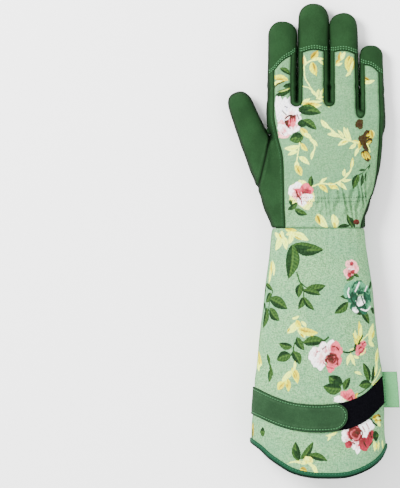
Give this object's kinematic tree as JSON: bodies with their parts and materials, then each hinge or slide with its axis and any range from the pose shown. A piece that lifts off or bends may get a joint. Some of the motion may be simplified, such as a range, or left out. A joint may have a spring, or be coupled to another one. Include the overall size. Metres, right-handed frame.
{
  "type": "pruning gauntlet glove",
  "caption": "Right-hand pruning gauntlet lying palm down: leather palm and fingertips, floral printed back and a long flared cuff with strap, bound hem and side tab.",
  "frame": {"origin": "middle of the glove's plan outline, on the surface it lies on", "axes": "+Y towards the fingertips, +X towards the little finger, +Z from the palm to the back of the hand"},
  "size_m": [0.164, 0.4492, 0.064],
  "materials": {
    "leather": "soft matt green leather",
    "dark_leather": "soft matt dark green leather",
    "black_leather": "smooth black leather with a soft sheen",
    "printed_fabric": "sage green canvas with a rose print",
    "loop_fabric": "black loop pile",
    "binding_tape": "green woven tape",
    "tab_ribbon": "pale green satin ribbon"
  },
  "bodies": {
    "root": {"back_panel": "printed_fabric", "cap_index": "dark_leather", "cap_little": "dark_leather", "cap_middle": "dark_leather", "cap_ring": "dark_leather", "cuff_back": "printed_fabric", "cuff_palm": "printed_fabric", "fourchette_index": "dark_leather", "fourchette_middle": "dark_leather", "fourchette_ring": "dark_leather", "hem_binding": "binding_tape", "loop_strip": "loop_fabric", "palm": "leather", "palm_pad": "leather", "side_little": "dark_leather", "side_tab": "tab_ribbon", "side_thumb": "dark_leather", "strap": "dark_leather", "thumb_back": "dark_leather", "thumb_palm": "leather", "touch_tip_index": "black_leather", "touch_tip_middle": "black_leather", "touch_tip_thumb": "black_leather"}
  },
  "joints": []
}
